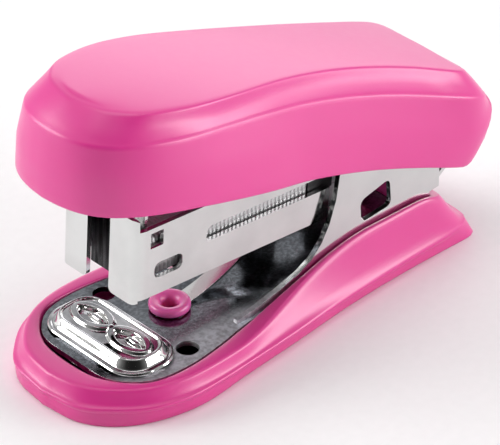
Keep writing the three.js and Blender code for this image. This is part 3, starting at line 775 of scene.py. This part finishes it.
def pusher_spring():
    """A coil spring on its rod, with close-wound ends."""
    start, end, rod_z, radius, wire = 36.3, 46.3, 5.3, 1.6, 0.2
    turns, per_turn, closed = 14, 20, 2
    low = start + wire + closed * COIL_TOUCHING * wire
    high = end - wire - closed * COIL_TOUCHING * wire
    line = []
    for i in range(turns * per_turn + 1):
        turn = i / per_turn
        if turn < closed:
            x = start + wire + turn * COIL_TOUCHING * wire
        elif turn > turns - closed:
            x = end - wire - (turns - turn) * COIL_TOUCHING * wire
        else:
            x = low + (high - low) * (turn - closed) / (turns - 2 * closed)
        angle = turn * 2 * math.pi
        line.append(Vector((x, radius * math.cos(angle), rod_z + radius * math.sin(angle))))
    mesh = bmesh.new()
    sweep(mesh, line, round_section(wire, 8))
    o = new_object("pusher_coil", mesh, magazine_matrix())
    rides(o, "magazine", "spring_steel", WIRE, "pusher_spring")
    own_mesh(o)


def handle_spring():
    """The torsion spring round the hinge, with one leg under the handle and one on the magazine."""
    px, pz = HINGE.x / MM - CENTRE_X, HINGE.z / MM
    radius, side, wire, turns, per_turn = 2.1, 2.6, 0.35, 3.5, 24
    upper_leg = [(5.5, 32.8), (9.2, 30.2), (13, 27.6), (17, 24.3)]
    lower_leg = [(19, 15.9), (16.5, 16.0), (14, 16.1)]
    line = [Vector((x, -side, z)) for x, z in upper_leg]
    count = int(turns * per_turn)
    for i in range(count + 1):
        share = i / count
        angle = math.pi / 2 + share * turns * 2 * math.pi
        line.append(Vector((px - radius * math.cos(angle), side * (2 * share - 1),
                            pz + radius * math.sin(angle))))
    line += [Vector((x, side, z)) for x, z in lower_leg]
    mesh = bmesh.new()
    sweep(mesh, line, round_section(wire, 10))
    row = row_matrix()
    o = new_object("return_spring", mesh, row)
    dress(o, WIRE)
    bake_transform(o)
    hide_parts("handle_spring")


def leaf_spring():
    """The lift spring's own shape, copied as a piece of the base."""
    bpy.context.view_layer.update()
    source = NODES["lift_spring"]
    shape = source.evaluated_get(bpy.context.evaluated_depsgraph_get())
    data = bpy.data.meshes.new_from_object(shape)
    data.transform(source.matrix_world)
    data.name = "leaf_tongue"
    o = linked("leaf_tongue", data)
    rides(o, "base", "bright_plate", CHROME, "lift_spring")
    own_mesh(o)


def anvil():
    """The stamped anvil: a rolled rim, sloped walls, and two raised islands, each with a crimp
    groove and a narrow rib in it."""
    centre, foot, deck = -26.0, 5.2, 6.75
    half_x, half_y, corner = 5.0, 9.7, 4.3
    lines_x, lines_y = 96, 176
    hem, hem_dip, rim_lip = 0.3, 0.12, 0.35        # the foot's roll, and the rim above the deck
    islands, island_x, island_rise = (-3.7, 3.7), 0.1, 0.5
    island_half_x, island_half_y = 2.35, 4.0
    groove_depth, groove_half_x, groove_half_y = 0.85, 1.5, 3.1
    rib_rise, rib_x, rib_y, rib_half_x, rib_half_y = 0.6, 0.5, -0.5, 0.62, 2.0

    def inset(x, y):
        """How far inside the outline a point is."""
        dx, dy = abs(x) - (half_x - corner), abs(y) - (half_y - corner)
        outside = math.hypot(max(dx, 0), max(dy, 0))
        return corner - outside - min(max(dx, dy), 0)

    def height(x, y):
        depth = inset(x, y)
        z = foot + hem * smooth(depth, 0.0, 0.2) - hem_dip * smooth(depth, 0.35, 0.7)
        z += (deck - foot - (hem - hem_dip)) * smooth(depth, 0.7, 1.7)
        z -= rim_lip * smooth(depth, 1.75, 2.05)
        for middle in islands:
            off_x, off_y = x - island_x, y - middle
            island = 1 - math.hypot(off_x / island_half_x, off_y / island_half_y)
            z += island_rise * smooth(island, 0.0, 0.12)
            reach = 1 - (off_y / groove_half_y) ** 2
            if reach > 0:
                inner = 1 - abs(off_x) / (groove_half_x * reach)
                z -= groove_depth * smooth(inner, 0.0, 0.3) * smooth(reach, 0.0, 0.3)
            spindle = 1 - math.hypot((x - rib_x) / rib_half_x, (off_y - rib_y) / rib_half_y)
            z += rib_rise * smooth(spindle, 0.0, 0.6)
        return z

    mesh = bmesh.new()
    rows = []
    for j in range(lines_y + 1):
        y = half_y * (2 * j / lines_y - 1)
        over = max(0.0, abs(y) - (half_y - corner))
        reach = half_x - corner + math.sqrt(max(0.0, corner * corner - over * over))
        places = [reach * (2 * i / lines_x - 1) for i in range(lines_x + 1)]
        rows.append([mesh.verts.new((centre + x, y, height(x, y))) for x in places])
    for low_row, high_row in zip(rows, rows[1:]):
        for i in range(lines_x):
            mesh.faces.new((low_row[i], low_row[i + 1], high_row[i + 1], high_row[i]))
    edge = (rows[0][:-1] + [r[-1] for r in rows[:-1]]
            + rows[-1][:0:-1] + [r[0] for r in reversed(rows[1:])])
    under = [mesh.verts.new((v.co.x, v.co.y, foot)) for v in edge]
    for i in range(len(edge)):
        j = (i + 1) % len(edge)
        mesh.faces.new((edge[i], under[i], under[j], edge[j]))
    mesh.faces.new(under)
    o = new_object("anvil_stamping", mesh, row_matrix())
    rides(o, "base", "bright_plate", ANVIL, "anvil_plate")


def spring_boss():
    """The hollow boss, with a rolled flange whose skirt covers the leaf's tab."""
    boss_x, segments = -15.6, 64
    profile = [(1.1, 1.7), (1.75, 1.7), (1.75, 5.5), (2.5, 5.55), (2.56, 5.2), (2.68, 5.08),
               (2.8, 5.2), (2.86, 5.5), (2.84, 5.85), (2.72, 6.12), (2.5, 6.27), (2.2, 6.3),
               (1.85, 6.24), (1.5, 6.05), (1.28, 5.8), (1.15, 5.5), (1.1, 5.0), (1.1, 3.0)]
    mesh = bmesh.new()
    rows = []
    for i in range(segments):
        turn = 2 * math.pi * i / segments
        rows.append([mesh.verts.new((boss_x + r * math.cos(turn), r * math.sin(turn), z))
                     for r, z in profile])
    for here, following in zip(rows, rows[1:] + rows[:1]):
        for k in range(len(profile)):
            j = (k + 1) % len(profile)
            mesh.faces.new((here[k], following[k], following[j], here[j]))
    o = new_object("boss_flange", mesh, row_matrix())
    rides(o, "base", "pink_plastic", PINK_PAINTED_LIGHT, "spring_boss")


handle_cover()
base_cover()
spring_boss()
staple_strip()
pusher_spring()
handle_spring()
leaf_spring()
anvil()


# ---------------------------------------------------------------- floor, light, camera
FLOOR_HALF = 3.0
FLOOR_GAP = 0.00005                        # keeps the floor off the part's own underside
AIM = Vector((0, 0, 0.02))                 # where the lamps point
DARK_SIDE = Vector((-0.66, -0.7, 0.22)).normalized()


def floor():
    mesh = bpy.data.meshes.new("floor")
    corners = [(-1, -1), (1, -1), (1, 1), (-1, 1)]
    mesh.from_pydata([(FLOOR_HALF * x, FLOOR_HALF * y, 0) for x, y in corners], [], [(0, 1, 2, 3)])
    o = linked("floor", mesh)
    o.data.materials.append(floor_paper())
    o.location.z = -FLOOR_GAP


def area_light(name, place, width, height, power):
    data = bpy.data.lights.new(name, "AREA")
    data.shape = "RECTANGLE"
    data.size = width
    data.size_y = height
    data.energy = power
    o = linked(name, data)
    o.location = place
    o.rotation_mode = "QUATERNION"
    o.rotation_quaternion = (AIM - Vector(place)).to_track_quat("-Z", "Y")
    return o


def studio_world():
    """A pale room, bright below and overhead and dimmer between, and dark on the viewer's side."""
    world = bpy.data.worlds.new("studio")
    bpy.context.scene.world = world
    world.use_nodes = True
    tree = world.node_tree
    tree.nodes.clear()
    out = tree.nodes.new("ShaderNodeOutputWorld")
    back = tree.nodes.new("ShaderNodeBackground")
    coords = tree.nodes.new("ShaderNodeTexCoord")

    def graded(direction, stops):
        """A grey that changes from straight against the direction (0) to straight along it (1)."""
        dot = tree.nodes.new("ShaderNodeVectorMath")
        dot.operation = "DOT_PRODUCT"
        dot.inputs[1].default_value = direction
        tree.links.new(coords.outputs["Generated"], dot.inputs[0])
        spread = tree.nodes.new("ShaderNodeMapRange")
        spread.inputs["From Min"].default_value = -1.0
        tree.links.new(dot.outputs["Value"], spread.inputs["Value"])
        ramp = tree.nodes.new("ShaderNodeValToRGB")
        set_stops(ramp.color_ramp, [(at, (grey, grey, grey)) for at, grey in stops])
        tree.links.new(spread.outputs["Result"], ramp.inputs["Fac"])
        return ramp.outputs["Color"]

    height = graded((0.0, 0.0, 1.0), [(0.0, 0.85), (0.5, 0.8), (0.6, 0.62), (0.72, 0.5),
                                      (0.86, 0.8), (1.0, 0.85)])
    side = graded(DARK_SIDE, [(0.0, 1.0), (0.28, 1.0), (0.45, 0.55), (0.7, 0.5), (0.82, 0.2),
                              (0.93, 0.04), (1.0, 0.02)])
    both = tree.nodes.new("ShaderNodeMix")
    both.data_type = "RGBA"
    both.blend_type = "MULTIPLY"
    factor, first, second = (both.inputs[i] for i in MIX_SOCKETS)
    factor.default_value = 1.0
    tree.links.new(height, first)
    tree.links.new(side, second)
    tree.links.new(both.outputs[MIX_RESULT], back.inputs["Color"])
    back.inputs["Strength"].default_value = 1.0
    tree.links.new(back.outputs["Background"], out.inputs["Surface"])


def camera():
    """A long lens at the angle the object is meant to be seen from."""
    azimuth, elevation = math.radians(-42.613), math.radians(34.096)
    distance, target = 0.482976, Vector((0.000048, 0.0, 0.011948))
    back = Vector((math.sin(azimuth) * math.cos(elevation),
                   -math.cos(azimuth) * math.cos(elevation), math.sin(elevation)))
    data = bpy.data.cameras.new("camera")
    data.sensor_width = 36.0
    data.lens = 258.74
    data.clip_start = 0.01
    data.clip_end = 20.0
    o = linked("camera", data)
    o.rotation_mode = "QUATERNION"
    o.location = target + back * distance
    o.rotation_quaternion = (-back).to_track_quat("-Z", "Y")
    bpy.context.scene.camera = o


floor()
studio_world()
area_light("top", (-0.02, -0.02, 0.76), width=0.7, height=0.55, power=2.0)
area_light("low_back", (0.8, 0.67, 0.3), width=0.9, height=0.36, power=2.0)
area_light("left", (-0.66, 0.64, 0.36), width=0.5, height=0.6, power=6.5)
area_light("right", (0.7, -0.86, 0.28), width=0.8, height=0.4, power=8.5)
fill = area_light("fill", (-0.6, -0.7, 0.3), width=0.6, height=0.4, power=0.5)
fill.visible_glossy = False
camera()
bpy.context.scene.view_settings.view_transform = "Standard"
